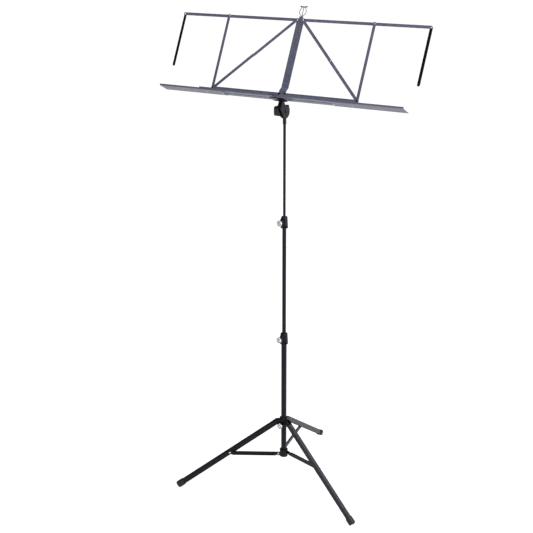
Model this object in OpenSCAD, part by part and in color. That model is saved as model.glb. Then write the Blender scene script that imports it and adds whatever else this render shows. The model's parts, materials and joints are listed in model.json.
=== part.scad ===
// Folding music stand: a tripod with a telescoping tube and a folding bar desk.
// Millimetres, +Z up. The origin is on the floor under the tube's axis.
// The musician stands on the -Y side, and X runs along the desk.

/* [Tubes] */
// Outer diameter of the lower tube
lower_d = 17; // [15:0.5:20]
// Outer diameter of the middle tube
middle_d = 12; // [10:0.5:12.5]
// Outer diameter of the upper tube
upper_d = 8; // [7:0.5:8.5]
// Wall of the lower and middle tubes
tube_wall = 1; // [0.8:0.1:1.2]
// Height of the lower clamp's screw
lower_clamp_z = 500; // [470:5:560]
// Height of the upper clamp's screw
upper_clamp_z = 873; // [820:1:900]
// Height of the tilt axis
tilt_z = 1200; // [1160:1:1300]
// Direction that the clamp screws face, from +X
clamp_turn = 262; // [250:1:290]

/* [Tripod] */
// Direction of the first leg, from +X
leg_turn = 217.8; // [205:0.1:235]
// Height of the leg pivots
leg_pivot_z = 214; // [205:1:225]
// Distance of the leg pivots from the axis
leg_pivot_r = 22; // [21:0.5:24]
// Slope of an open leg below the horizontal
leg_slope = 33; // [30:0.5:36]
// Width of a leg channel
leg_w = 12; // [11:0.5:13]
// Height of a leg channel
leg_h = 15; // [13:0.5:16]
// Distance from a leg's pivot to its strut
leg_to_strut = 183; // [175:1:190]
// Height of the strut pivots
strut_pivot_z = 101; // [98:1:105]
// Distance of the strut pivots from the axis
strut_pivot_r = 19; // [18:0.5:20]
// Direction that the leg hub's screw faces, from +X
hub_screw_turn = 272; // [268:1:285]

/* [Desk] */
// Lean of the desk from the vertical
desk_lean = 26; // [0:1:60]
// Distance of each pair of centre pivots from the middle
centre_x = 8.8; // [8.6:0.1:9.2]
// Height of the ledge pivots above the tilt axis
ledge_pivot_s = 39; // [38:0.5:42]
// Height from the ledge pivots to the top bar pivots
desk_h = 220; // [210:1:222]
// Distance from a centre pivot to the upright's pivot
desk_half = 228; // [228:1:240]
// Distance from the middle to an end arm's pivot
arm_x = 400; // [390:1:410]
// Length of an end arm below its pivot
arm_len = 158; // [140:1:160]
// Width of the flat bars
strip_w = 8.5; // [7:0.5:9]
// Thickness of the flat bars
strip_t = 1.2; // [1:0.1:1.2]

/* [Ledge] */
// Depth of the ledge
ledge_d = 40; // [35:1:45]
// Distance from the middle to the ledge's end
ledge_x = 255; // [252:1:265]
// Distance from the middle to the extension's inner end
ext_in_x = 175; // [170:1:178]
// Distance from the middle to the extension's outer end
ext_out_x = 395; // [385:1:400]
// Travel of an extension
ext_travel = 145; // [120:1:145]

/* [Hidden] */
$fn = 48;

// Colours
black_paint = [0.10, 0.10, 0.12];
grey_paint = [0.20, 0.20, 0.24];
black_plastic = [0.05, 0.05, 0.06];
nickel = [0.75, 0.74, 0.72];
brass_plate = [0.62, 0.52, 0.34];
white_plastic = [0.80, 0.80, 0.78];

// Fits
run_gap = 0.05;
face_gap = 0.15;
through = 1;

// Tubes
lower_r = lower_d / 2;
lower_bore_r = lower_r - tube_wall;
middle_r = middle_d / 2;
middle_bore_r = middle_r - tube_wall;
upper_r = upper_d / 2;
upper_wall = 0.8;
upper_bore_r = upper_r - upper_wall;
lower_tube_z = 89;
lower_tube_top = lower_clamp_z + 8;
middle_tube_z = lower_clamp_z - 60;
middle_tube_top = upper_clamp_z + 8;
upper_tube_z = upper_clamp_z - 58;
upper_tube_top = tilt_z - 22;
guide_h = 10;
spigot_h = 15;

// Clamps and their screws
clamp_h = 34;
clamp_drop = 18;
clamp_rim = 2;
clamp_flare = 0.8;
gusset_w = 8;
arch_w = 7;
arch_h = 10;
// From the screw to the arch
arch_turn = 48;
liner_h = 38;
liner_lip = 2;
boss_r = 6;
boss_reach = 11;
thread_r = 2.5;
screw_head_r = 9;
screw_head_h = 5;
screw_neck_r = 4;

// Tripod
hub_r = 13;
hub_below = 18;
hub_above = 13;
hub_screw_drop = 8;
ear_t = 2;
leg_gap = 0.2;
leg_wall = 1.4;
leg_len = 372;
foot_in = 360;
foot_out = 384;
foot_wall = 2;
pin_r = 2;
head_r = 3.2;
head_t = 0.8;
strut_h = 12;
strut_w = 5;
strut_wall = 1.2;
strut_side = leg_w / 2 + 0.4;
strut_hub_below = 12;
strut_hub_above = 12;
strut_ear_r = 6;
strut_out_r = leg_pivot_r + leg_to_strut * cos(leg_slope);
strut_out_z = leg_pivot_z - leg_to_strut * sin(leg_slope);
strut_len = sqrt(pow(strut_out_r - strut_pivot_r, 2) + pow(strut_out_z - strut_pivot_z, 2));
strut_slope = atan2(strut_out_z - strut_pivot_z, strut_out_r - strut_pivot_r);

// Layers of the desk, each the distance of its back face in front of the tilt axis
bar_n = 27;
bar_t = 2;
top_n = bar_n + bar_t + face_gap;
knee_gap = 0.75;
upper_brace_n = top_n + strip_t + knee_gap;
brace_gap = 0.9;
lower_brace_n = upper_brace_n + strip_t + brace_gap;
upright_n = lower_brace_n + strip_t + brace_gap;
ledge_n = upright_n + strip_t + face_gap;
ledge_t = 1.2;
ledge_front_n = ledge_n + ledge_t;
arm_n = top_n - strip_t - 1.05;

// Desk
top_s = ledge_pivot_s + desk_h;
upright_x = centre_x + desk_half;
brace_len = sqrt(pow(desk_half, 2) + pow(desk_h, 2));
upper_brace_len = (brace_len + desk_half - desk_h) / 2;
lower_brace_len = brace_len - upper_brace_len;
brace_angle = atan2(desk_h, desk_half);
knee_x = centre_x + upper_brace_len * cos(brace_angle);
knee_s = top_s - upper_brace_len * sin(brace_angle);
bar_w = 23;
bar_top_s = top_s + 11;
bar_step_s = top_s + 5.5;
bar_step_w = 12;
bar_low_s = 23;
joggle_top_s = 60;
joggle_low_s = 48;
joggle = upright_n + strip_t - bar_t - bar_n;
dimple_s = 204;
panel_s = 88;
panel_w = 12;
panel_h = 11;
panel_deep = 0.6;

// Ledge
tray_s = 20.5;
lip_h = 7;
lip_slant = 14;
eye_r = 3.6;
ext_t = 1;
ext_gap = 0.2;
ext_lip_h = 5;
ext_back = 1;
stud_n = ledge_n + 20;
stud_in_x = ext_in_x + 6;
stud_out_x = ext_in_x + 62;
slot_r = pin_r + 0.1;

// Tilt joint
cheek_in = 4.1;
cheek_t = 2;
cheek_r = 19.5;
tongue_w = 8;
tongue_r = 15;
neck_r = 5.2;
neck_top = 20.5;
neck_low = 36;
bolt_r = 3;
bolt_head_r = 6.5;
bolt_head_t = 2.5;
knob_in = 13;
knob_out = 29;
knob_w = 28;
knob_corner = 8;
knob_boss_r = 9;
bracket_top_s = 32;
rest_w = 44;
rest_d = 26;
rest_t = 2;

// Wire clip above the desk
clip_n = bar_n - 0.9;
wire_r = 0.9;
clip_low_s = top_s + 6;
clip_top_s = top_s + 40;
clip_bar_r = 1.6;
// Half widths of the outer wires from their feet to the bar
clip_path = [[2.6, 0], [3, 8], [8, 12], [10.6, 18], [9.6, 24], [6.8, 31], [6, 34]];

// ---- Helpers ----

// Turns children from +X to a leg's direction
module at_leg(i) {
    rotate([0, 0, leg_turn + 120 * i]) children();
}

// Places children in the leaning desk's frame, with +Z up the desk and -Y towards the player
module desk_frame() {
    translate([0, 0, tilt_z]) rotate([-desk_lean, 0, 0]) children();
}

// Extrudes a shape drawn in X and Z towards the player, with its back face at n
module layer(n, t) {
    translate([0, -n, 0]) rotate([90, 0, 0]) linear_extrude(t) children();
}

// Extrudes a profile drawn in Y and Z along X, centred
module along_x(w) {
    translate([-w / 2, 0, 0]) rotate([90, 0, 90]) linear_extrude(w) children();
}

// Mirrors children to the desk's left half
module left_side() {
    mirror([1, 0, 0]) children();
}

module ring(r_out, r_in, z, h) {
    translate([0, 0, z]) difference() {
        cylinder(r = r_out, h = h);
        translate([0, 0, -through]) cylinder(r = r_in, h = h + 2 * through);
    }
}

// Strip with round ends, from the origin along +X
module strip_2d(len, w) {
    translate([0, -w / 2]) square([len, w]);
    circle(d = w);
    translate([len, 0]) circle(d = w);
}

// Flat bar with round ends and a hole at each end, from the origin along +X
module bar_2d(len, w, r_near, r_far) {
    difference() {
        strip_2d(len, w);
        circle(r = r_near);
        translate([len, 0]) circle(r = r_far);
    }
}

// Rivet through the desk's layers, from n0 to n1, with a head at each end outside them
module desk_rivet(x, s, n0, n1) {
    translate([x, -n0, s]) rotate([90, 0, 0]) cylinder(r = pin_r, h = n1 - n0);
    translate([x, -n1, s]) rotate([90, 0, 0]) cylinder(r1 = head_r, r2 = head_r - 0.9, h = head_t);
    translate([x, -n0 + head_t, s]) rotate([90, 0, 0]) cylinder(r1 = head_r - 0.9, r2 = head_r, h = head_t);
}

// Spacer sleeve round a rivet, from n0 to n1
module desk_spacer(x, s, n0, n1) {
    translate([x, -n0, s]) rotate([90, 0, 0]) difference() {
        cylinder(r = head_r, h = n1 - n0);
        translate([0, 0, -through]) cylinder(r = pin_r, h = n1 - n0 + 2 * through);
    }
}

// ---- Tubes ----

module lower_tube() {
    color(black_paint) difference() {
        ring(lower_r, lower_bore_r, lower_tube_z, lower_tube_top - lower_tube_z);
        screw_hole(clamp_turn, lower_clamp_z, lower_r);
    }
}

module middle_tube() {
    color(black_paint) difference() {
        ring(middle_r, middle_bore_r, middle_tube_z, middle_tube_top - middle_tube_z);
        screw_hole(clamp_turn, upper_clamp_z, middle_r);
    }
}

module upper_tube() {
    color(black_paint) ring(upper_r, upper_bore_r, upper_tube_z, upper_tube_top - upper_tube_z);
}

module tube_plug() {
    plug_h = 12;
    plug_lip = 2;
    color(black_plastic) {
        translate([0, 0, lower_tube_z]) cylinder(r = lower_bore_r, h = plug_h);
        translate([0, 0, lower_tube_z - plug_lip]) cylinder(r = lower_r, h = plug_lip);
    }
}

// Radial hole for a clamp screw, as far as radius r
module screw_hole(turn, z, r) {
    translate([0, 0, z]) rotate([0, 90, turn]) cylinder(r = thread_r + run_gap, h = r + through);
}

// Guide that slides in the outer tube, with a spigot that the inner tube turns on
module guide(outer_r, inner_r, z) {
    color(white_plastic) {
        translate([0, 0, z - guide_h]) cylinder(r = outer_r - run_gap, h = guide_h - face_gap);
        translate([0, 0, z - guide_h]) cylinder(r = inner_r - run_gap, h = guide_h + spigot_h);
    }
}

module lower_guide() {
    guide(lower_bore_r, middle_bore_r, middle_tube_z);
}

module upper_guide() {
    guide(middle_bore_r, upper_bore_r, upper_tube_z);
}

// ---- Clamps ----

// Clamp on the end of the outer tube: a flared collar with a gusset and a boss for its screw,
// and an arch at the front
module clamp(outer_r, inner_r, body_r, z) {
    top = clamp_h - clamp_drop;
    boss_end = body_r + boss_reach - 3;
    color(black_paint) translate([0, 0, z]) rotate([0, 0, clamp_turn]) difference() {
        union() {
            translate([0, 0, -clamp_drop])
                cylinder(r1 = body_r + clamp_flare, r2 = body_r - clamp_flare, h = clamp_h - clamp_rim);
            translate([0, 0, top - clamp_rim])
                cylinder(r1 = body_r - clamp_flare, r2 = body_r - 2 * clamp_flare, h = clamp_rim);
            rotate([0, 90, 0]) cylinder(r = boss_r, h = boss_end);
            rotate([90, 0, 0]) linear_extrude(gusset_w, center = true)
                polygon([[0, top - clamp_rim], [body_r - 1, top - clamp_rim], [boss_end, boss_r - 1],
                         [boss_end, 1 - boss_r], [body_r, -clamp_drop + 2], [0, -clamp_drop + 2]]);
        }
        translate([0, 0, -clamp_drop - through]) cylinder(r = outer_r, h = clamp_drop + 8 + through);
        cylinder(r = inner_r + 0.6, h = clamp_h);
        rotate([0, 90, 0]) cylinder(r = thread_r + run_gap, h = body_r + boss_reach);
        rotate([0, 0, arch_turn]) clamp_arch(body_r + 2 * clamp_flare);
    }
}

// Round-topped opening in the lower edge of a clamp, along +X
module clamp_arch(r) {
    spring = -clamp_drop + arch_h - arch_w / 2;
    translate([0, 0, spring]) rotate([0, 90, 0]) cylinder(d = arch_w, h = r);
    translate([0, -arch_w / 2, -clamp_drop - through]) cube([r, arch_w, spring + clamp_drop + through]);
}

module lower_clamp() {
    clamp(lower_r, middle_r, lower_r + 3.5, lower_clamp_z);
}

module upper_clamp() {
    clamp(middle_r, upper_r, middle_r + 4.5, upper_clamp_z);
}

// Liner in the mouth of the outer tube, which the inner tube slides in
module liner(outer_r, inner_r, lip_r, z) {
    color(white_plastic) difference() {
        union() {
            ring(outer_r, inner_r + run_gap, z - liner_h, liner_h);
            ring(lip_r, inner_r + run_gap, z, liner_lip);
        }
        screw_hole(clamp_turn, z - 8, lip_r);
    }
}

module lower_liner() {
    liner(lower_bore_r, middle_r, middle_r + 0.6, lower_tube_top);
}

module upper_liner() {
    liner(middle_bore_r, upper_r, upper_r + 0.6, middle_tube_top);
}

// Thumbscrew along a radius: its tip is at tip_r and its head starts at head_at
module thumbscrew(turn, z, tip_r, head_at) {
    grips = 24;
    color(nickel) translate([0, 0, z]) rotate([0, 90, turn]) {
        translate([0, 0, tip_r]) cylinder(r = thread_r, h = head_at - tip_r + 1);
        translate([0, 0, head_at - 2]) cylinder(r = screw_neck_r, h = 2.5);
        translate([0, 0, head_at]) difference() {
            cylinder(r = screw_head_r, h = screw_head_h);
            translate([0, 0, screw_head_h - 1]) cylinder(r = screw_head_r - 2.5, h = 1 + through);
            for (i = [0 : grips - 1])
                rotate([0, 0, i * 360 / grips]) translate([screw_head_r + 0.3, 0, -through])
                    cylinder(r = 0.7, h = screw_head_h + 2 * through, $fn = 16);
        }
    }
}

module lower_thumbscrew() {
    thumbscrew(clamp_turn, lower_clamp_z, middle_r + 0.15, lower_r + 3.5 + boss_reach);
}

module upper_thumbscrew() {
    thumbscrew(clamp_turn, upper_clamp_z, upper_r + 0.15, middle_r + 4.5 + boss_reach);
}

// ---- Tripod ----

module leg_hub() {
    ear_side = leg_w / 2 + leg_gap;
    ear_r = 7;
    color(black_paint) translate([0, 0, leg_pivot_z]) difference() {
        union() {
            translate([0, 0, -hub_below]) cylinder(r = hub_r, h = hub_below + hub_above);
            rotate([0, 90, hub_screw_turn]) translate([hub_screw_drop, 0, 0])
                cylinder(r = boss_r - 0.5, h = hub_r + 8);
            for (i = [0 : 2]) at_leg(i) for (side = [-1, 1])
                translate([0, side * (ear_side + ear_t / 2), 0]) leg_ear(ear_r);
        }
        translate([0, 0, -hub_below - through])
            cylinder(r = lower_r + run_gap, h = hub_below + hub_above + 2 * through);
        rotate([0, 90, hub_screw_turn]) translate([hub_screw_drop, 0, 0])
            cylinder(r = thread_r + run_gap, h = hub_r + 8 + through);
        for (i = [0 : 2]) at_leg(i) translate([leg_pivot_r, 0, 0]) rotate([90, 0, 0])
            cylinder(r = pin_r, h = 4 * leg_w, center = true);
    }
}

// One ear of a leg's fork, in the plane of the leg
module leg_ear(r) {
    rotate([90, 0, 0]) linear_extrude(ear_t, center = true) {
        translate([lower_r + 1, -r]) square([leg_pivot_r - lower_r - 1, 2 * r]);
        translate([leg_pivot_r, 0]) circle(r = r);
    }
}

module leg_hub_rivets() {
    grip = leg_w / 2 + leg_gap + ear_t;
    color(nickel) translate([0, 0, leg_pivot_z]) for (i = [0 : 2]) at_leg(i)
        translate([leg_pivot_r, 0, 0]) rotate([90, 0, 0]) {
            cylinder(r = pin_r, h = 2 * grip, center = true);
            translate([0, 0, grip]) cylinder(r1 = head_r, r2 = head_r - 0.9, h = head_t);
            translate([0, 0, -grip - head_t]) cylinder(r1 = head_r - 0.9, r2 = head_r, h = head_t);
        }
}

module hub_thumbscrew() {
    thumbscrew(hub_screw_turn, leg_pivot_z - hub_screw_drop, lower_r + 0.15, hub_r + 12);
}

// Places children on leg i, with +X down the leg from its pivot and +Z to its outer side
module on_leg(i) {
    at_leg(i) translate([leg_pivot_r, 0, leg_pivot_z]) rotate([0, leg_slope, 0]) children();
}

// Folded channel, open underneath, with a round end at the pivot
module leg(i) {
    inner_w = leg_w - 2 * leg_wall;
    web_in = 9;
    color(black_paint) on_leg(i) difference() {
        rotate([90, 0, 0]) linear_extrude(leg_w, center = true) {
            translate([0, -leg_h / 2]) square([leg_len, leg_h]);
            circle(d = leg_h);
        }
        translate([web_in, -inner_w / 2, -leg_h / 2 - through])
            cube([leg_len, inner_w, leg_h - leg_wall + through]);
        translate([-leg_h, -inner_w / 2, -leg_h]) cube([leg_h + web_in + through, inner_w, 2 * leg_h]);
        rotate([90, 0, 0]) cylinder(r = pin_r + run_gap, h = 2 * leg_w, center = true);
    }
}

// Rubber cap over the end of a leg, with a flat sole on the floor
module foot_cap(i) {
    cap_w = leg_w + 2 * foot_wall;
    cap_h = leg_h + 2 * foot_wall;
    color(black_plastic) intersection() {
        on_leg(i) difference() {
            rotate([90, 0, 90]) translate([0, 0, foot_in]) linear_extrude(foot_out - foot_in)
                rounded_2d(cap_w, cap_h, 3);
            translate([foot_in - through, -leg_w / 2, -leg_h / 2])
                cube([leg_len - foot_in + through, leg_w, leg_h]);
        }
        translate([-500, -500, 0]) cube([1000, 1000, 100]);
    }
}

// Centred rectangle with round corners
module rounded_2d(w, h, r) {
    square([w - 2 * r, h], center = true);
    square([w, h - 2 * r], center = true);
    for (x = [-1, 1], y = [-1, 1]) translate([x * (w / 2 - r), y * (h / 2 - r)]) circle(r = r);
}

module strut_hub() {
    color(black_paint) translate([0, 0, strut_pivot_z]) difference() {
        union() {
            translate([0, 0, -strut_hub_below]) cylinder(r = hub_r, h = strut_hub_below + strut_hub_above);
            for (i = [0 : 2]) at_leg(i)
                translate([0, strut_side + strut_wall + face_gap + ear_t / 2, 0]) strut_ear();
        }
        translate([0, 0, -strut_hub_below - through])
            cylinder(r = lower_r, h = strut_hub_below + strut_hub_above + 2 * through);
        for (i = [0 : 2]) at_leg(i) translate([strut_pivot_r, 0, 0]) rotate([-90, 0, 0])
            cylinder(r = pin_r, h = 2 * leg_w);
    }
}

module strut_ear() {
    rotate([90, 0, 0]) linear_extrude(ear_t, center = true) {
        translate([lower_r, -strut_ear_r]) square([strut_pivot_r - lower_r, 2 * strut_ear_r]);
        translate([strut_pivot_r, 0]) circle(r = strut_ear_r);
    }
}

module strut_hub_rivets() {
    ear_out = strut_side + strut_wall + face_gap + ear_t;
    color(brass_plate) translate([0, 0, strut_pivot_z]) for (i = [0 : 2]) at_leg(i)
        translate([strut_pivot_r, strut_side, 0]) rotate([-90, 0, 0]) {
            cylinder(r = pin_r, h = ear_out - strut_side);
            translate([0, 0, ear_out - strut_side]) cylinder(r1 = head_r, r2 = head_r - 0.9, h = head_t);
        }
}

// Places children on strut i, with +X out along the strut from its pivot
module on_strut(i) {
    at_leg(i) translate([strut_pivot_r, strut_side, strut_pivot_z]) rotate([0, -strut_slope, 0]) children();
}

// Flat bar with its edges folded out between the two pivots
module strut(i) {
    clear_r = 8;
    fold_len = strut_len - 2 * clear_r;
    color(black_paint) on_strut(i) {
        rotate([90, 0, 0]) translate([0, 0, -strut_wall]) linear_extrude(strut_wall)
            bar_2d(strut_len, strut_h, pin_r + run_gap, pin_r);
        for (side = [-1, 1])
            translate([clear_r, 0, side * (strut_h - strut_wall) / 2 - strut_wall / 2])
                cube([fold_len, strut_w, strut_wall]);
    }
}

// Head of the rivet between a strut and its leg
module strut_rivet(i) {
    color(brass_plate) on_strut(i) translate([strut_len, 0, 0]) rotate([-90, 0, 0]) {
        cylinder(r = pin_r, h = strut_wall);
        translate([0, 0, strut_wall]) cylinder(r1 = head_r, r2 = head_r - 0.9, h = head_t);
    }
}

// ---- Tilt joint ----

module tilt_head() {
    color(black_paint) translate([0, 0, tilt_z]) difference() {
        union() {
            along_x(tongue_w) {
                circle(r = tongue_r);
                polygon([[-tongue_r, 0], [-neck_r, -neck_top], [neck_r, -neck_top], [tongue_r, 0]]);
            }
            translate([0, 0, -neck_low]) cylinder(r = neck_r, h = neck_low - neck_top);
        }
        translate([0, 0, -neck_low - through])
            cylinder(r = upper_r, h = upper_tube_top - tilt_z + neck_low + through);
        rotate([0, 90, 0]) cylinder(r = bolt_r + run_gap, h = 2 * tongue_w, center = true);
    }
}

// Side cheek of the bracket in Y and Z: a disc on the tilt axis and an arm to the front plate
module cheek_2d() {
    front = -(upright_n + strip_t - bar_t);
    circle(r = cheek_r);
    polygon([[front, -3], [-14, -13.5], [-13.5, 14], [front + 6, 26], [front, 26]]);
}

// Bracket between the tilt joint and the desk, with a rest under the middle of the ledge
module desk_bracket() {
    front_n = upright_n + strip_t - bar_t;
    lug = 5;
    color(black_paint) desk_frame() {
        for (side = [-1, 1]) translate([side * (cheek_in + cheek_t / 2), 0, 0]) difference() {
            along_x(cheek_t) cheek_2d();
            rotate([0, 90, 0]) cylinder(r = bolt_r, h = 4 * cheek_t, center = true);
        }
        layer(front_n - 2, 2) translate([-cheek_in - cheek_t, -3])
            square([2 * (cheek_in + cheek_t), bracket_top_s + 3]);
        translate([-rest_w / 2, -ledge_n - rest_d, tray_s - face_gap - rest_t])
            cube([rest_w, rest_d + ledge_n - front_n + 1.5, rest_t]);
        translate([cheek_in + cheek_t, -2, 16]) cube([2.5, lug, lug - 1]);
    }
}

module tilt_bolt() {
    color(black_paint) desk_frame() rotate([0, 90, 0]) {
        translate([0, 0, -knob_out + 4]) cylinder(r = bolt_r, h = knob_out - 4 + cheek_in + cheek_t);
        translate([0, 0, cheek_in + cheek_t]) cylinder(r1 = bolt_head_r, r2 = bolt_head_r - 2, h = bolt_head_t);
    }
}

// Square knob with round corners on the left of the tilt joint
module tilt_knob() {
    rim = 1.5;
    insert_r = 5;
    inner = cheek_in + cheek_t + face_gap;
    color(black_plastic) translate([0, 0, tilt_z]) rotate([0, -90, 0]) difference() {
        union() {
            translate([0, 0, inner]) cylinder(r = knob_boss_r, h = knob_in - inner + 1);
            translate([0, 0, knob_in]) linear_extrude(rim) rounded_2d(knob_w - 2 * rim, knob_w - 2 * rim, knob_corner - rim);
            translate([0, 0, knob_in + rim]) linear_extrude(knob_out - knob_in - 2 * rim)
                rounded_2d(knob_w, knob_w, knob_corner);
            translate([0, 0, knob_out - rim]) linear_extrude(rim)
                rounded_2d(knob_w - 2 * rim, knob_w - 2 * rim, knob_corner - rim);
        }
        translate([0, 0, inner - through]) cylinder(r = insert_r, h = knob_out - 3 - inner + through);
    }
}

module knob_insert() {
    insert_r = 5;
    inner = cheek_in + cheek_t + face_gap;
    color(brass_plate) desk_frame() rotate([0, -90, 0])
        ring(insert_r, bolt_r + run_gap, inner, knob_out - 3 - inner);
}

// ---- Desk ----

// Side view of the central bar in Y and Z, with the step towards the player at its foot
module central_profile() {
    back = -bar_n;
    low_back = back - joggle;
    polygon([
        [back, bar_top_s], [back, joggle_top_s], [low_back, joggle_low_s], [low_back, bar_low_s],
        [low_back - bar_t, bar_low_s], [low_back - bar_t, joggle_low_s + 1],
        [back - bar_t, joggle_top_s + 1], [back - bar_t, bar_top_s]
    ]);
}

module central_bar() {
    color(grey_paint) desk_frame() difference() {
        along_x(bar_w) central_profile();
        for (side = [-1, 1]) {
            layer(0, 100) translate([side * centre_x, top_s]) circle(r = pin_r);
            layer(0, 100) translate([side * centre_x, ledge_pivot_s]) circle(r = pin_r);
            layer(0, 100) translate([side * (bar_w + bar_step_w) / 4 + side * through, bar_step_s + 5])
                square([(bar_w - bar_step_w) / 2 + 2 * through, 10], center = true);
        }
        layer(bar_n + bar_t - panel_deep, 5) translate([-panel_w / 2, panel_s]) square([panel_w, panel_h]);
        translate([0, -bar_n - bar_t + 0.8, dimple_s]) rotate([90, 0, 0]) cylinder(r1 = 1, r2 = 2.5, h = 1);
    }
}

// Rivets that hold the ledge halves, the top bars and the braces to the central bar
module desk_rivets() {
    low_back = bar_n + joggle;
    color(nickel) desk_frame() for (side = [-1, 1]) {
        desk_rivet(side * centre_x, top_s, bar_n, upper_brace_n + strip_t + 0.05);
        desk_rivet(side * centre_x, ledge_pivot_s, low_back, ledge_front_n + 0.05);
    }
}

// Three wires that rise from the back of the central bar
module clip_wires() {
    color(black_paint) desk_frame() translate([0, -clip_n, clip_low_s]) {
        wire_run(wire_r, [0, 0], [0, clip_top_s - clip_low_s]);
        for (side = [-1, 1], i = [0 : len(clip_path) - 2])
            wire_run(wire_r, [side * clip_path[i][0], clip_path[i][1]],
                     [side * clip_path[i + 1][0], clip_path[i + 1][1]]);
    }
}

// Straight piece of round wire between two points in X and Z
module wire_run(r, from, to) {
    hull() for (p = [from, to]) translate([p[0], 0, p[1]]) sphere(r = r, $fn = 12);
}

module clip_bar() {
    half = 7;
    tip = [10.5, 1.6];
    color(black_paint) desk_frame() translate([0, -clip_n, clip_top_s]) {
        wire_run(clip_bar_r, [-half, 0], [half, 0]);
        for (side = [-1, 1]) wire_run(clip_bar_r, [side * half, 0], [side * tip[0], tip[1]]);
    }
}

// ---- One half of the desk, drawn on the right ----

// Angle section: flange with a round eye at each pivot at the back, tray, and lip at the front
module ledge() {
    length = ledge_x - centre_x;
    color(grey_paint) desk_frame() difference() {
        union() {
            layer(ledge_n, ledge_t) {
                translate([centre_x, tray_s]) square([desk_half, ledge_pivot_s + eye_r - tray_s]);
                for (x = [centre_x, upright_x]) translate([x, ledge_pivot_s]) circle(r = eye_r);
            }
            translate([centre_x, -ledge_n - ledge_d, tray_s]) cube([length, ledge_d, ledge_t]);
            layer(ledge_n + ledge_d - ledge_t, ledge_t) translate([centre_x, tray_s])
                polygon([[0, 0], [length, 0], [length, lip_h], [lip_slant, lip_h], [lip_slant / 4, ledge_t], [0, ledge_t]]);
        }
        layer(0, 100) translate([centre_x, ledge_pivot_s]) circle(r = pin_r + run_gap);
        layer(0, 100) translate([upright_x, ledge_pivot_s]) circle(r = pin_r);
        translate([stud_in_x - ext_travel, -stud_n, tray_s - through]) linear_extrude(ledge_t + 2 * through)
            strip_2d(stud_out_x - stud_in_x + ext_travel, 2 * slot_r);
    }
}

// Extension under the tray, with a lower lip in front of the ledge's lip
module extension() {
    under = tray_s - ext_gap - ext_t;
    front_n = ledge_n + ledge_d + ext_gap + ext_t;
    color(grey_paint) desk_frame() difference() {
        union() {
            translate([ext_in_x, -front_n, under])
                cube([ext_out_x - ext_in_x, front_n - ledge_n - ext_back, ext_t]);
            layer(front_n - ext_t, ext_t) translate([ext_in_x, under])
                square([ext_out_x - ext_in_x, ext_lip_h]);
        }
        for (x = [stud_in_x, stud_out_x]) translate([x, -stud_n, under - through])
            cylinder(r = pin_r, h = ext_t + 2 * through);
    }
}

// Studs fixed in the extension, which run in the tray's slot
module extension_studs() {
    under = tray_s - ext_gap - ext_t;
    above = tray_s + ledge_t + 0.1;
    color(nickel) desk_frame() for (x = [stud_in_x, stud_out_x]) translate([x, -stud_n, 0]) {
        translate([0, 0, under]) cylinder(r = pin_r, h = above - under);
        translate([0, 0, under - head_t]) cylinder(r1 = head_r - 0.9, r2 = head_r, h = head_t);
        translate([0, 0, above]) cylinder(r1 = head_r, r2 = head_r - 0.9, h = head_t);
    }
}

// Rivet that carries the upright and the lower brace on the ledge
module ledge_rivet() {
    color(black_paint) desk_frame() desk_rivet(upright_x, ledge_pivot_s, lower_brace_n - 0.05, ledge_front_n);
}

module top_bar() {
    color(grey_paint) desk_frame() layer(top_n, strip_t) difference() {
        translate([centre_x, top_s]) bar_2d(arm_x - centre_x, strip_w, pin_r + run_gap, pin_r);
        translate([upright_x, top_s]) circle(r = pin_r);
    }
}

// Rivets fixed in the top bar: one carries the upright, with a spacer, and one the end arm
module bar_rivets() {
    color(nickel) desk_frame() {
        desk_rivet(upright_x, top_s, top_n, upright_n + strip_t + 0.05);
        desk_spacer(upright_x, top_s, top_n + strip_t, upright_n - 0.1);
        desk_rivet(arm_x, top_s, arm_n - 0.05, top_n + strip_t);
        desk_spacer(arm_x, top_s, arm_n + strip_t + 0.1, top_n);
    }
}

module upright() {
    color(grey_paint) desk_frame() layer(upright_n, strip_t)
        translate([upright_x, ledge_pivot_s]) rotate([0, 0, 90])
            bar_2d(desk_h, strip_w, pin_r + run_gap, pin_r + run_gap);
}

module upper_brace() {
    color(grey_paint) desk_frame() layer(upper_brace_n, strip_t)
        translate([centre_x, top_s]) rotate([0, 0, -brace_angle])
            difference() {
                strip_2d(upper_brace_len, strip_w);
                circle(r = pin_r + run_gap);
            }
}

module lower_brace() {
    color(grey_paint) desk_frame() layer(lower_brace_n, strip_t)
        translate([upright_x, ledge_pivot_s]) rotate([0, 0, 180 - brace_angle])
            bar_2d(lower_brace_len, strip_w, pin_r + run_gap, pin_r);
}

// Rivet of the knee between the two braces, held by the lower brace
module knee_rivet() {
    front = lower_brace_n + strip_t;
    back = upper_brace_n + strip_t + 0.1;
    color(nickel) desk_frame() translate([knee_x, 0, knee_s]) rotate([90, 0, 0]) {
        translate([0, 0, lower_brace_n]) cylinder(r = pin_r, h = strip_t);
        translate([0, 0, front]) cylinder(r1 = head_r, r2 = head_r - 0.9, h = head_t);
        translate([0, 0, back]) cylinder(r = head_r, h = lower_brace_n - back);
    }
}

module arm() {
    color(black_paint) desk_frame() layer(arm_n, strip_t) translate([arm_x, top_s]) difference() {
        rotate([0, 0, -90]) strip_2d(arm_len, strip_w);
        circle(r = pin_r + run_gap);
    }
}

// ---- Nodes ----

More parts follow.
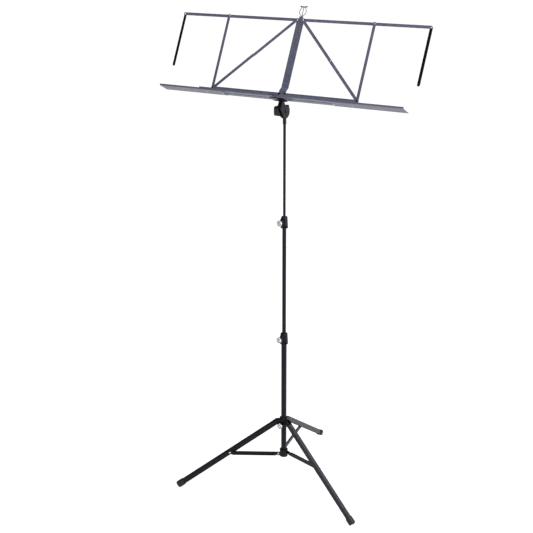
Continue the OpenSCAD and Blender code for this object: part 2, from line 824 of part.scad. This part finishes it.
lower_tube();
tube_plug();
strut_hub();
strut_hub_rivets();
lower_clamp();
lower_liner();
lower_thumbscrew();
leg_hub();
leg_hub_rivets();
hub_thumbscrew();
leg(0);  // leg_1
leg(1);  // leg_2
leg(2);  // leg_3
foot_cap(0);  // foot_cap_1
foot_cap(1);  // foot_cap_2
foot_cap(2);  // foot_cap_3
strut(0);  // strut_1
strut(1);  // strut_2
strut(2);  // strut_3
strut_rivet(0);  // strut_rivet_1
strut_rivet(1);  // strut_rivet_2
strut_rivet(2);  // strut_rivet_3
lower_guide();
middle_tube();
upper_clamp();
upper_liner();
upper_thumbscrew();
upper_guide();
upper_tube();
tilt_head();
desk_bracket();
central_bar();
desk_rivets();
clip_wires();
clip_bar();
tilt_bolt();
tilt_knob();
knob_insert();
left_side() ledge();  // ledge_left
ledge();  // ledge_right
left_side() extension();  // extension_left
extension();  // extension_right
left_side() extension_studs();  // extension_studs_left
extension_studs();  // extension_studs_right
left_side() ledge_rivet();  // ledge_rivet_left
ledge_rivet();  // ledge_rivet_right
left_side() top_bar();  // top_bar_left
top_bar();  // top_bar_right
left_side() bar_rivets();  // bar_rivets_left
bar_rivets();  // bar_rivets_right
left_side() upright();  // upright_left
upright();  // upright_right
left_side() upper_brace();  // upper_brace_left
upper_brace();  // upper_brace_right
left_side() lower_brace();  // lower_brace_left
lower_brace();  // lower_brace_right
left_side() knee_rivet();  // knee_rivet_left
knee_rivet();  // knee_rivet_right
left_side() arm();  // arm_left
arm();  // arm_right
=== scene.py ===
import json
import math

import bmesh
import bpy
from mathutils import Matrix, Vector


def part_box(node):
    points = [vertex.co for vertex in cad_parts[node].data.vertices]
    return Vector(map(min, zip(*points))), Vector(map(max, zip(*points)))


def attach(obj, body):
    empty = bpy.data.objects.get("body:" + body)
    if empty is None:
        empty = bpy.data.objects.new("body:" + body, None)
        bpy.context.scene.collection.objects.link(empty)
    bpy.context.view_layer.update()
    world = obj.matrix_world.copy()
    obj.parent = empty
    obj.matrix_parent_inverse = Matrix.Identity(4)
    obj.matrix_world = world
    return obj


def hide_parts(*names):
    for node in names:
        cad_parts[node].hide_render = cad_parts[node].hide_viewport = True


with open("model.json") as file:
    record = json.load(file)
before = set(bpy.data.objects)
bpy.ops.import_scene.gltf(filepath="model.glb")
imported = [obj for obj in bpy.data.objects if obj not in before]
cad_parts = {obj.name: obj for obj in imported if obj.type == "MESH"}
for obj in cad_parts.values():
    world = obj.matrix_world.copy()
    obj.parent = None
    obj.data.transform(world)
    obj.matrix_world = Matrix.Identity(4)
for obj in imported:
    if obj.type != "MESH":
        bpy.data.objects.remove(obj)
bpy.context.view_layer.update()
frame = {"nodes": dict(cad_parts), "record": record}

# ---- Sizes ----

MM = 0.001
RECORD = frame["record"]
NODES = frame["nodes"]
JOINTS = {joint["name"]: joint for joint in RECORD["behaviour"]["joints"]}
BODY_OF = {node: body for body, nodes in RECORD["behaviour"]["bodies"].items() for node in nodes}
SLOT_OF = {part["node"]: part["material_slot"] for part in RECORD["subparts"]}
LEGS = (1, 2, 3)
UP = Vector((0, 0, 1))

# Desk frame: +X along the desk, +Z up the desk, -Y towards the player, origin on the tilt axis
DESK_NORMAL = Vector(JOINTS["ledge_left_fold"]["axis"]).normalized()
if DESK_NORMAL.y > 0:
    DESK_NORMAL = -DESK_NORMAL
DESK_LEAN = math.asin(DESK_NORMAL.z)
TILT_AXIS = Vector(JOINTS["desk_tilt"]["pos_m"])
DESK = Matrix.Translation(TILT_AXIS) @ Matrix.Rotation(-DESK_LEAN, 4, "X")

# Rounding of the carried-over parts' edges, by the start of a node's name
ROUNDING = {
    "leg_hub_rivets": 0.45,
    "leg_hub": 0.7,
    "leg_": 1.1,
    "strut_hub_rivets": 0.45,
    "strut_rivet": 0.45,
    "strut_hub": 0.7,
    "strut_": 0.45,
    "lower_clamp": 0.9,
    "upper_clamp": 0.9,
    "tilt_head": 0.9,
    "desk_bracket": 0.5,
    "ledge_rivet": 0.45,
    "ledge_": 0.5,
    "extension_studs": 0.45,
    "extension_": 0.42,
    "desk_rivets": 0.45,
    "bar_rivets": 0.45,
    "knee_rivet": 0.45,
    "tilt_bolt": 0.6,
}
PLAIN_ROUNDING = 0.3

# Open legs, and the foot cap's ends measured down the leg from its pivot
LEG_SLOPE = math.radians(33)
CAP_START = 360 * MM
CAP_END = 384 * MM

# ---- Camera, floor and light ----


def aim(item, place, direction, roll=0.0):
    """Puts a camera or light at a place, looking along a direction."""
    turn = direction.to_track_quat("-Z", "Y").to_matrix().to_4x4()
    item.matrix_world = Matrix.Translation(place) @ turn @ Matrix.Rotation(roll, 4, "Z")


def add_camera():
    yaw = math.radians(30.40)
    pitch = math.radians(20.73)
    distance = 3.135
    target = Vector((0, 0, 0.6))
    look = Vector((-math.sin(yaw) * math.cos(pitch), math.cos(yaw) * math.cos(pitch), -math.sin(pitch)))
    data = bpy.data.cameras.new("camera")
    data.sensor_width = 36
    data.lens = 69.08
    data.shift_x = -0.0330
    data.shift_y = 0.0774
    camera = bpy.data.objects.new("camera", data)
    bpy.context.scene.collection.objects.link(camera)
    aim(camera, target - distance * look, look, math.radians(0.15))
    bpy.context.scene.camera = camera


def add_softbox(name, place, target, size, power, tint=(1.0, 1.0, 1.0)):
    data = bpy.data.lights.new(name, "AREA")
    data.color = tint
    data.shape = "RECTANGLE"
    data.size = size[0]
    data.size_y = size[1]
    data.energy = power
    light = bpy.data.objects.new(name, data)
    bpy.context.scene.collection.objects.link(light)
    aim(light, Vector(place), Vector(target) - Vector(place))


def add_lights():
    middle = (0, 0, 0.75)
    desk = (0, -0.05, 1.3)
    cool = (0.86, 0.88, 1.0)
    add_softbox("front_light", (0.9, -2.8, 2.1), desk, (1.0, 1.0), 62, cool)
    add_softbox("edge_light", (2.8, -0.3, 1.6), middle, (1.0, 2.6), 120, cool)
    add_softbox("back_light", (1.4, 2.6, 2.8), middle, (2.0, 1.6), 125, cool)
    add_softbox("top_light", (0.3, 0.4, 3.8), middle, (2.0, 2.0), 18)
    add_world()
    bpy.context.scene.view_settings.view_transform = "Standard"


def add_world():
    """White where it is seen directly. As light it is dim, and brightest from the right, back and top."""
    brightest = Vector((0.62, 0.42, 0.66)).normalized()
    dim, bright = 0.08, 0.75
    world = bpy.data.worlds.new("studio")
    world.use_nodes = True
    tree = world.node_tree
    sky = tree.nodes["Background"]
    sky.inputs["Color"].default_value = (0.90, 0.92, 1.0, 1)
    direction = tree.nodes.new("ShaderNodeTexCoord").outputs["Generated"]
    facing = tree.nodes.new("ShaderNodeVectorMath")
    facing.operation = "DOT_PRODUCT"
    facing.inputs[1].default_value = brightest
    tree.links.new(direction, facing.inputs[0])
    grade = tree.nodes.new("ShaderNodeMapRange")
    grade.inputs["From Min"].default_value = -0.2
    grade.inputs["From Max"].default_value = 0.9
    grade.inputs["To Min"].default_value = dim
    grade.inputs["To Max"].default_value = bright
    tree.links.new(facing.outputs["Value"], grade.inputs["Value"])
    tree.links.new(grade.outputs["Result"], sky.inputs["Strength"])
    seen = tree.nodes.new("ShaderNodeBackground")
    seen.inputs["Color"].default_value = (1, 1, 1, 1)
    seen.inputs["Strength"].default_value = 1.0
    either = tree.nodes.new("ShaderNodeMixShader")
    tree.links.new(tree.nodes.new("ShaderNodeLightPath").outputs["Is Camera Ray"], either.inputs["Fac"])
    tree.links.new(sky.outputs["Background"], either.inputs[1])
    tree.links.new(seen.outputs["Background"], either.inputs[2])
    tree.links.new(either.outputs["Shader"], tree.nodes["World Output"].inputs["Surface"])
    bpy.context.scene.world = world


def add_floor():
    half = 40.0
    bm = bmesh.new()
    bmesh.ops.create_grid(bm, x_segments=8, y_segments=8, size=half)
    floor = link_mesh(bm, "floor")
    floor.data.materials.append(floor_paint())


# ---- Mesh helpers ----


def link_mesh(bm, name, smooth_angle=math.radians(40)):
    mesh = bpy.data.meshes.new(name)
    bmesh.ops.recalc_face_normals(bm, faces=bm.faces)
    for face in bm.faces:
        face.smooth = True
    bm.to_mesh(mesh)
    bm.free()
    mesh.set_sharp_from_angle(angle=smooth_angle)
    piece = bpy.data.objects.new(name, mesh)
    bpy.context.scene.collection.objects.link(piece)
    return piece


def loft(bm, rings):
    """Skins rings of points, each a list of the same length, and closes both ends."""
    rows = [[bm.verts.new(point) for point in ring] for ring in rings]
    count = len(rows[0])
    for near, far in zip(rows, rows[1:]):
        for i in range(count):
            j = (i + 1) % count
            bm.faces.new((near[i], near[j], far[j], far[i]))
    bm.faces.new(reversed(rows[0]))
    bm.faces.new(rows[-1])


def finish_piece(piece, body, replaced, slot=None):
    """Gives a piece its body and the material of its slot, and hides the nodes it stands for."""
    slot = slot or SLOT_OF[replaced[0]]
    piece.data.materials.clear()
    piece.data.materials.append(MATERIALS[slot])
    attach(piece, body)
    if replaced:
        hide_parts(*replaced)


def rounding(node):
    for start, width in ROUNDING.items():
        if node.startswith(start):
            return width * MM
    return PLAIN_ROUNDING * MM


def rounded_copy(node):
    """A copy of a node's mesh with its sharp edges rounded, in the same place."""
    flat = math.radians(0.5)
    sharp = math.radians(28)
    bm = bmesh.new()
    bm.from_mesh(NODES[node].data)
    bmesh.ops.remove_doubles(bm, verts=bm.verts, dist=2e-6)
    bmesh.ops.dissolve_limit(bm, angle_limit=flat, verts=bm.verts, edges=bm.edges)
    edges = [edge for edge in bm.edges if edge.is_manifold and edge.calc_face_angle(0) > sharp]
    bmesh.ops.bevel(
        bm, geom=edges, offset=rounding(node), offset_type="OFFSET", segments=3, profile=0.5,
        affect="EDGES", clamp_overlap=True, loop_slide=True,
    )
    piece = link_mesh(bm, node + "_body")
    weigh_normals(piece)
    return piece


def weigh_normals(piece):
    """Keeps flat faces flat beside their rounded edges."""
    modifier = piece.modifiers.new("flat_faces", "WEIGHTED_NORMAL")
    modifier.keep_sharp = True
    apply_modifiers(piece)


def apply_modifiers(piece):
    bpy.context.view_layer.update()
    evaluated = piece.evaluated_get(bpy.context.evaluated_depsgraph_get())
    mesh = bpy.data.meshes.new_from_object(evaluated)
    piece.modifiers.clear()
    piece.data = mesh


# ---- Material helpers ----


class Finish:
    """A Principled material with short ways to add its nodes."""

    def __init__(self, name):
        self.material = bpy.data.materials.new(name)
        self.material.use_nodes = True
        self.tree = self.material.node_tree
        self.shader = self.tree.nodes["Principled BSDF"]
        self.place = self.add("ShaderNodeTexCoord").outputs["Object"]

    def add(self, kind, **settings):
        node = self.tree.nodes.new(kind)
        for name, value in settings.items():
            setattr(node, name, value)
        return node

    def join(self, source, target):
        self.tree.links.new(source, target)

    def set(self, **values):
        for name, value in values.items():
            self.shader.inputs[name.replace("_", " ")].default_value = value

    def noise(self, scale, detail=3.0, stretch=(1, 1, 1)):
        mapping = self.add("ShaderNodeMapping")
        mapping.inputs["Scale"].default_value = stretch
        self.join(self.place, mapping.inputs["Vector"])
        noise = self.add("ShaderNodeTexNoise")
        noise.inputs["Scale"].default_value = scale
        noise.inputs["Detail"].default_value = detail
        self.join(mapping.outputs["Vector"], noise.inputs["Vector"])
        return noise.outputs["Fac"]

    def spread(self, value, low, high, start=0.35, end=0.65):
        """Maps a value from start..end to low..high."""
        node = self.add("ShaderNodeMapRange")
        self.join(value, node.inputs["Value"])
        node.inputs["From Min"].default_value = start
        node.inputs["From Max"].default_value = end
        node.inputs["To Min"].default_value = low
        node.inputs["To Max"].default_value = high
        return node.outputs["Result"]

    def times(self, first, second):
        node = self.add("ShaderNodeMath", operation="MULTIPLY")
        self.join(first, node.inputs[0])
        self.join(second, node.inputs[1])
        return node.outputs["Value"]

    def blend(self, factor, first, second):
        """Mixes two colours; first may be another mix."""
        node = self.add("ShaderNodeMix", data_type="RGBA")
        self.join(factor, node.inputs["Factor"])
        colours = [socket for socket in node.inputs if socket.type == "RGBA"]
        if isinstance(first, tuple):
            colours[0].default_value = (*first, 1)
        else:
            self.join(first, colours[0])
        colours[1].default_value = (*second, 1)
        return [socket for socket in node.outputs if socket.type == "RGBA"][0]

    def colour(self, value):
        self.join(value, self.shader.inputs["Base Color"])

    def roughness(self, value):
        self.join(value, self.shader.inputs["Roughness"])

    def bump(self, *heights):
        """Adds bumps, each a height and its depth in metres."""
        normal = None
        for height, depth in heights:
            node = self.add("ShaderNodeBump")
            node.inputs["Strength"].default_value = 1.0
            node.inputs["Distance"].default_value = depth
            self.join(height, node.inputs["Height"])
            if normal:
                self.join(normal, node.inputs["Normal"])
            normal = node.outputs["Normal"]
        self.join(normal, self.shader.inputs["Normal"])

    def edges(self, start=0.56, end=0.68):
        """Where the mesh is convex, broken up by noise: 0 on flats and 1 on edges."""
        pointiness = self.add("ShaderNodeNewGeometry").outputs["Pointiness"]
        edge = self.spread(pointiness, 0, 1, start, end)
        patches = self.spread(self.noise(140, 5), 0, 1, 0.48, 0.62)
        return self.times(edge, patches)


def paint(name, dark, light, worn, rough, shine):
    """Baked paint: fine orange peel, faint mottling, hairline rubs and paler worn edges."""
    finish = Finish(name)
    mottle = finish.spread(finish.noise(35, 5), 0, 1)
    base = finish.blend(mottle, dark, light)
    rubs = finish.spread(finish.noise(900, 2, (1, 1, 0.03)), 0, 0.25, 0.62, 0.78)
    base = finish.blend(rubs, base, worn)
    finish.colour(finish.blend(finish.edges(), base, worn))
    finish.roughness(finish.spread(finish.noise(70, 6), rough - 0.04, rough + 0.06))
    finish.bump((finish.noise(1400, 2), 0.000015), (finish.noise(260, 3), 0.00002))
    finish.set(Specular_IOR_Level=shine)
    return finish.material


def black_paint():
    return paint(
        "black_paint", dark=(0.0022, 0.0022, 0.0042), light=(0.0040, 0.0040, 0.0062),
        worn=(0.022, 0.022, 0.028), rough=0.30, shine=0.15,
    )


# The same black paint as black_paint, with its base colour lifted to a lavender grey: painted sheen,
# standing in for the studio's reflections on the bars, ledges and braces
def satin_paint():
    return paint(
        "satin_paint", dark=(0.072, 0.072, 0.098), light=(0.084, 0.084, 0.113),
        worn=(0.135, 0.135, 0.165), rough=0.40, shine=0.4,
    )


def plated(name, bright, dull, rough):
    """Plated metal: fine turning lines, cloudy roughness and dull spots in the plating."""
    finish = Finish(name)
    clouds = finish.spread(finish.noise(120, 6), 0, 1)
    base = finish.blend(clouds, bright, dull)
    spots = finish.spread(finish.noise(520, 3), 0, 0.8, 0.64, 0.74)
    finish.colour(finish.blend(spots, base, tuple(0.35 * part for part in dull)))
    finish.roughness(finish.spread(finish.noise(240, 5), rough - 0.07, rough + 0.12))
    finish.bump((finish.noise(2600, 2, (1, 1, 0.15)), 0.000012))
    finish.set(Metallic=1.0)
    return finish.material


def nickel():
    return plated("nickel", bright=(0.55, 0.54, 0.53), dull=(0.42, 0.41, 0.40), rough=0.34)


def yellow_zinc():
    return plated("yellow_zinc", bright=(0.66, 0.52, 0.31), dull=(0.50, 0.40, 0.27), rough=0.32)


def moulded(name, dark, light, worn, rough, grain_depth, shine=0.25):
    """Moulded plastic or rubber: spark-eroded grain, flow mottling and scuffed edges."""
    finish = Finish(name)
    flow = finish.spread(finish.noise(60, 4), 0, 1)
    base = finish.blend(flow, dark, light)
    finish.colour(finish.blend(finish.edges(), base, worn))
    finish.roughness(finish.spread(finish.noise(180, 5), rough - 0.06, rough + 0.08))
    finish.bump((finish.noise(1900, 3), grain_depth), (finish.noise(300, 2), grain_depth))
    finish.set(Specular_IOR_Level=shine)
    return finish.material


def knob_plastic():
    return moulded(
        "knob_plastic", dark=(0.005, 0.005, 0.007), light=(0.009, 0.009, 0.012),
        worn=(0.035, 0.035, 0.04), rough=0.30, grain_depth=0.00002, shine=0.3,
    )


def guide_plastic():
    return moulded(
        "guide_plastic", dark=(0.62, 0.61, 0.57), light=(0.70, 0.69, 0.66),
        worn=(0.78, 0.77, 0.74), rough=0.42, grain_depth=0.00002,
    )


def foot_rubber():
    return moulded(
        "foot_rubber", dark=(0.006, 0.006, 0.007), light=(0.012, 0.012, 0.013),
        worn=(0.045, 0.045, 0.045), rough=0.62, grain_depth=0.00004,
    )


def floor_paint():
    """Light table: an even white of its own, with a little of the lamps' light on it."""
    finish = Finish("floor_paint")
    finish.colour(finish.blend(finish.noise(1.5, 3), (0.13, 0.13, 0.13), (0.15, 0.15, 0.15)))
    finish.roughness(finish.spread(finish.noise(8, 4), 0.75, 0.9))
    finish.set(Specular_IOR_Level=0.0, Emission_Color=(1, 1, 1, 1), Emission_Strength=0.98)
    return finish.material


# ---- Pieces made here ----


def superellipse(half_x, half_y, power, count):
    """Points round a centred rectangle with soft corners."""
    points = []
    for i in range(count):
        angle = 2 * math.pi * (i + 0.5) / count
        c, s = math.cos(angle), math.sin(angle)
        r = (abs(c) ** power + abs(s) ** power) ** (-1 / power)
        points.append((half_x * r * c, half_y * r * s))
    return points


def turned(bm, profile, count, knurl=0.0, teeth=0, knurl_from=0.0):
    """Turns a profile of (radius, height) about Z; radii past knurl_from get a toothed rim."""
    rings = []
    for radius, height in profile:
        ring = []
        for i in range(count):
            angle = 2 * math.pi * i / count
            depth = knurl * (0.5 - 0.5 * math.cos(teeth * angle)) if radius > knurl_from else 0
            ring.append((math.cos(angle) * (radius - depth), math.sin(angle) * (radius - depth), height))
        rings.append(ring)
    loft(bm, rings)


def add_thumbscrew(node, joint):
    """Knurled screw with a dished head, made along +Z and laid on its joint's axis."""
    axis = Vector(JOINTS[joint]["axis"]).normalized()
    pivot = Vector(JOINTS[joint]["pos_m"])
    reach = [(vertex.co - pivot).dot(axis) for vertex in NODES[node].data.vertices]
    tip = min(reach) / MM
    face = max(reach) / MM
    head, neck, rim, thread = 5.0, 2.0, 9.0, 2.5
    back = face - head
    profile = [
        (thread - 0.9, tip), (thread, tip + 0.9), (thread, back - neck - 0.4), (thread + 0.3, back - neck),
        (3.7, back - neck), (4.0, back - neck + 0.3), (4.0, back - 0.2), (4.6, back), (rim - 1.4, back),
        (rim - 0.5, back + 0.35), (rim, back + 0.9), (rim, back + head * 0.5), (rim, face - 0.9),
        (rim - 0.5, face - 0.3), (rim - 1.2, face), (rim - 2.2, face), (rim - 2.7, face - 0.3),
        (rim - 3.1, face - 1.0), (3.2, face - 1.0), (2.6, face - 0.8), (1.2, face - 0.45), (0.3, face - 0.4),
    ]
    bm = bmesh.new()
    turned(bm, [(r * MM, h * MM) for r, h in profile], 216, 0.45 * MM, 36, (rim - 0.7) * MM)
    turn = UP.rotation_difference(axis).to_matrix().to_4x4()
    bmesh.ops.transform(bm, matrix=Matrix.Translation(pivot) @ turn, verts=bm.verts)
    finish_piece(link_mesh(bm, node + "_head"), BODY_OF[node], [node])


def add_knob():
    """Square moulded knob with soft corners, a boss towards the bracket and a dished end."""
    node = "tilt_knob"
    low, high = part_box(node)
    width = 28 * MM
    inner, outer = -high.x, -low.x
    seat = 8 * MM
    bore = 5.0 * MM
    boss = 9 * MM
    edge = 3.2 * MM
    bands = [(seat, 0.80), (seat + 0.1 * edge, 0.90), (seat + 0.35 * edge, 0.97), (seat + edge, 1.0),
             (outer - edge, 1.0), (outer - 0.35 * edge, 0.96), (outer - 0.1 * edge, 0.89), (outer, 0.80),
             (outer, 0.66), (outer - 0.8 * MM, 0.60), (outer - 0.9 * MM, 0.10)]
    count = 96
    chamfer = 0.5 * MM
    round_part = [(bore, outer - 3 * MM), (bore, inner), (boss - chamfer, inner), (boss, inner + chamfer),
                  (boss, seat)]
    rings = [circle(radius, place, count) for radius, place in round_part]
    for place, share in bands:
        half = share * width / 2
        rings.append([(x, y, place) for x, y in superellipse(half, half, 5.0, count)])
    bm = bmesh.new()
    loft(bm, rings)
    turn = Matrix.Translation(TILT_AXIS) @ Matrix.Rotation(-math.pi / 2, 4, "Y")
    bmesh.ops.transform(bm, matrix=turn, verts=bm.verts)
    finish_piece(link_mesh(bm, "knob_shell"), BODY_OF[node], [node])


def ring_angles(count):
    return [2 * math.pi * (i + 0.5) / count for i in range(count)]


def circle(radius, height, count):
    return [(radius * math.cos(a), radius * math.sin(a), height) for a in ring_angles(count)]


def add_foot(i):
    """Rubber boot over the leg's end, ribbed round its mouth, with its sole on the floor."""
    node = f"foot_cap_{i}"
    pivot = Vector(JOINTS[f"leg_{i}_fold"]["pos_m"])
    tangent = Vector(JOINTS[f"leg_{i}_fold"]["axis"]).normalized()
    radial = Vector((pivot.x, pivot.y, 0)).normalized()
    along = math.cos(LEG_SLOPE) * radial - math.sin(LEG_SLOPE) * UP
    over = math.sin(LEG_SLOPE) * radial + math.cos(LEG_SLOPE) * UP
    reach = [(vertex.co - pivot).dot(along) for vertex in NODES[node].data.vertices]
    start = CAP_START
    end = max(max(reach), CAP_END)
    half_w = 8 * MM
    half_h = 9.5 * MM
    count = 96
    inside = [(end - 12 * MM, 0.745, 0.785), (start + 0.6 * MM, 0.76, 0.80), (start, 0.80, 0.84)]
    outside = [(0.0, 0.95), (0.3, 0.99), (0.8, 1.0), (3.0, 1.0), (3.4, 0.965), (4.2, 0.965), (4.6, 1.0),
               (6.2, 1.0), (6.6, 0.965), (7.4, 0.965), (7.8, 1.0), (14.0, 1.0), (20.0, 1.0),
               (22.8, 0.985), (23.6, 0.95), (24.0, 0.88)]
    rings = []
    for place, share_w, share_h in inside:
        outline = superellipse(half_w * share_w, half_h * share_h, 9, count)
        rings.append([(x, y, place) for x, y in outline])
    for place, share in outside:
        outline = superellipse(half_w * share, half_h * share, 8, count)
        rings.append([(x, y, start + place * MM) for x, y in outline])
    bm = bmesh.new()
    loft(bm, rings)
    frame_matrix = Matrix((tangent, over, along)).transposed().to_4x4()
    bmesh.ops.transform(bm, matrix=Matrix.Translation(pivot) @ frame_matrix, verts=bm.verts)
    for vertex in bm.verts:
        vertex.co.z = max(vertex.co.z, 0)
    finish_piece(link_mesh(bm, f"foot_boot_{i}"), BODY_OF[node], [node])


def tube_along(bm, points, radius, count=16, samples=6):
    """Round wire along a smooth curve through the points, with rounded ends."""
    path = smooth_path(points, samples)
    rings = []
    side = Vector((0, 1, 0))
    for i, point in enumerate(path):
        ahead = path[min(i + 1, len(path) - 1)] - path[max(i - 1, 0)]
        ahead.normalize()
        across = side.cross(ahead).normalized()
        spokes = [math.cos(a) * across + math.sin(a) * side for a in ring_angles(count)]
        rings.append([point + radius * spoke for spoke in spokes])
    for end, inner in ((0, 1), (-1, -2)):
        back = (path[end] - path[inner]).normalized()
        cap = [path[end] + back * radius * 0.8 + 0.55 * (p - path[end]) for p in rings[end]]
        if end == 0:
            rings.insert(0, cap)
        else:
            rings.append(cap)
    loft(bm, rings)


def smooth_path(points, samples):
    """Catmull-Rom curve through the points."""
    points = [Vector(p) for p in points]
    padded = [2 * points[0] - points[1], *points, 2 * points[-1] - points[-2]]
    path = []
    for k in range(1, len(padded) - 2):
        a, b, c, d = padded[k - 1:k + 3]
        for step in range(samples):
            t = step / samples
            path.append(0.5 * (2 * b + (c - a) * t + (2 * a - 5 * b + 4 * c - d) * t ** 2
                               + (3 * b - a - 3 * c + d) * t ** 3))
    path.append(padded[-2])
    return path


def to_desk(point):
    local = DESK.inverted() @ point
    return local.x / MM, -local.y / MM, local.z / MM


def add_clip():
    """Wire clip: a straight middle wire, two bowed ones and the bar across their ends."""
    corners = [to_desk(vertex.co) for vertex in NODES["clip_wires"].data.vertices]
    wire_r = 0.9
    foot = min(corner[2] for corner in corners) + wire_r
    n = sum(corner[1] for corner in corners) / len(corners)
    bow = [(2.6, 0), (3, 8), (8, 12), (10.6, 18), (9.6, 24), (6.8, 31), (6, 34)]
    bm = bmesh.new()
    middle = [Vector((0, -n, foot)), Vector((0, -n, foot + 17)), Vector((0, -n, foot + 34))]
    tube_along(bm, middle, wire_r, samples=4)
    for side in (-1, 1):
        tube_along(bm, [Vector((side * x, -n, foot + s)) for x, s in bow], wire_r)
    bmesh.ops.transform(bm, matrix=DESK @ Matrix.Scale(MM, 4), verts=bm.verts)
    finish_piece(link_mesh(bm, "clip_springs"), BODY_OF["clip_wires"], ["clip_wires"])
    bar_r = 1.6
    top = foot + 34
    half_path = [(3.5, 0), (7, 0.15), (8.7, 0.8), (10.5, 1.6)]
    path = [*[(-x, s) for x, s in reversed(half_path)], (0, 0), *half_path]
    bm = bmesh.new()
    tube_along(bm, [Vector((x, -n, top + s)) for x, s in path], bar_r)
    bmesh.ops.transform(bm, matrix=DESK @ Matrix.Scale(MM, 4), verts=bm.verts)
    finish_piece(link_mesh(bm, "clip_crossbar"), BODY_OF["clip_bar"], ["clip_bar"])


def add_desk_rivets():
    """The desk's rivets in two finishes: plated at the top bars and painted at the ledge."""
    low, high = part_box("desk_rivets")
    middle = (low + high) / 2
    halves = [("desk_rivets_top", "nickel", True), ("desk_rivets_foot", "black_paint", False)]
    for name, slot, above in halves:
        piece = rounded_copy("desk_rivets")
        bm = bmesh.new()
        bm.from_mesh(piece.data)
        gone = [vertex for vertex in bm.verts if (vertex.co.z > middle.z) != above]
        bmesh.ops.delete(bm, geom=gone, context="VERTS")
        bm.to_mesh(piece.data)
        bm.free()
        piece.name = name
        finish_piece(piece, BODY_OF["desk_rivets"], ["desk_rivets"], slot)


def add_leg_hub_rivets():
    """The hub's rivets are painted over with the hub."""
    node = "leg_hub_rivets"
    finish_piece(rounded_copy(node), BODY_OF[node], [node], "black_paint")


def add_carried_over(done):
    """Every other node keeps its shape, with its edges rounded."""
    for node in sorted(NODES):
        if node not in done:
            finish_piece(rounded_copy(node), BODY_OF[node], [node])


MATERIALS = {
    "black_paint": black_paint(),
    "satin_paint": satin_paint(),
    "nickel": nickel(),
    "yellow_zinc": yellow_zinc(),
    "knob_plastic": knob_plastic(),
    "guide_plastic": guide_plastic(),
    "foot_rubber": foot_rubber(),
}

add_camera()
add_lights()
add_floor()
SCREWS = {"lower_thumbscrew": "lower_thumbscrew_turn", "upper_thumbscrew": "upper_thumbscrew_turn",
          "hub_thumbscrew": "hub_thumbscrew_turn"}
for screw, screw_joint in SCREWS.items():
    add_thumbscrew(screw, screw_joint)
add_knob()
for leg in LEGS:
    add_foot(leg)
add_clip()
add_desk_rivets()
add_leg_hub_rivets()
made_here = [*SCREWS, "desk_rivets", "leg_hub_rivets", "tilt_knob", "clip_wires", "clip_bar"]
made_here += [f"foot_cap_{leg}" for leg in LEGS]
add_carried_over(made_here)
